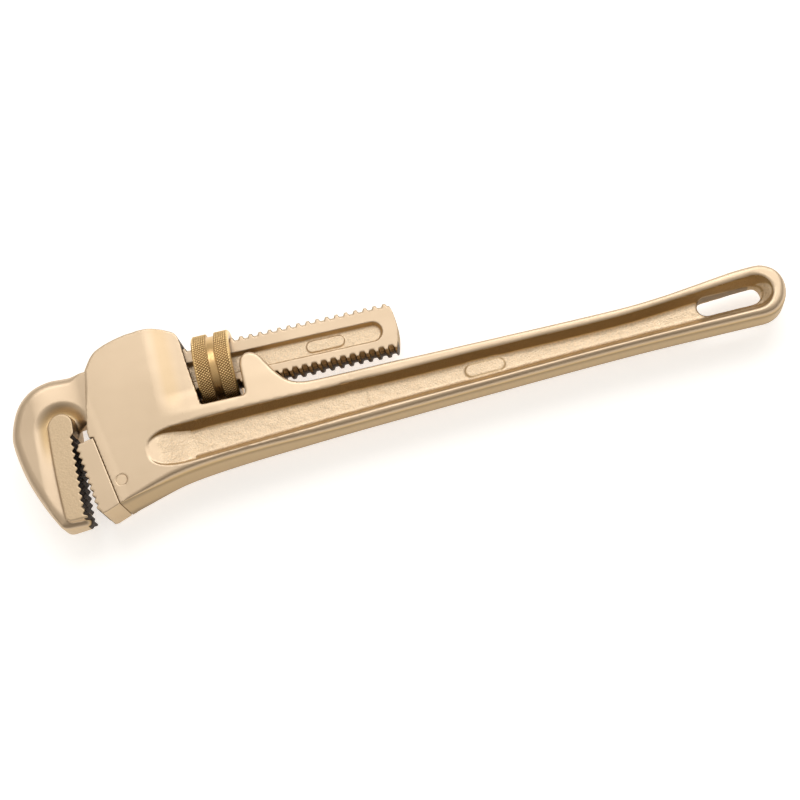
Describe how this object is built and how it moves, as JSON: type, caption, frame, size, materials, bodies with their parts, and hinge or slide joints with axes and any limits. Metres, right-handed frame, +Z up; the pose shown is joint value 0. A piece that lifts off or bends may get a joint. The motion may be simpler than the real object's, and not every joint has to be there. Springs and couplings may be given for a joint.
{
  "type": "pipe wrench",
  "caption": "Straight pipe wrench with a knurled nut, threaded hook jaw, fixed toothed heel jaw and long I-section handle.",
  "frame": {"origin": "middle of the bounding box in X and Y, at the lowest point (the nut's underside)", "axes": "+X towards the handle's end, +Y towards the threaded shank's side (the mouth opens towards -Y), +Z up, out of the wrench's flat side"},
  "size_m": [0.4044, 0.0926, 0.038],
  "materials": {
    "cast_bronze": "satin",
    "knurled_brass": "satin",
    "spring_bronze": "satin"
  },
  "bodies": {
    "handle_body": {"handle": "cast_bronze", "heel_jaw": "cast_bronze", "heel_jaw_pin": "knurled_brass"},
    "spring_pack": {"flat_spring": "spring_bronze", "coil_spring": "spring_bronze", "spring_rivet": "knurled_brass"},
    "hook_body": {"hook_jaw": "cast_bronze"},
    "nut_body": {"adjusting_nut": "knurled_brass"}
  },
  "joints": [
    {"name": "jaw_rock", "type": "hinge", "parent": "handle_body", "child": "spring_pack", "pos_m": [-0.10086, 0.02004, 0.019], "axis": [0, 0, 1], "range_deg": [0, 2], "stiffness_Nm_per_rad": 10, "springref_deg": -2.86, "deforming": ["coil_spring", "flat_spring"]},
    {"name": "hook_slide", "type": "slide", "parent": "spring_pack", "child": "hook_body", "axis": [-0.9996, 0.0297, 0], "range_m": [0, 0.06]},
    {"name": "nut_spin", "type": "hinge", "parent": "spring_pack", "child": "nut_body", "pos_m": [-0.09116, 0.0198, 0.019], "axis": [0.9996, -0.0297, 0], "range_deg": [0, 4252]}
  ],
  "couplings": [
    {"joint": "nut_spin", "follows": "hook_slide", "rad_per_m": 1236.8}
  ]
}
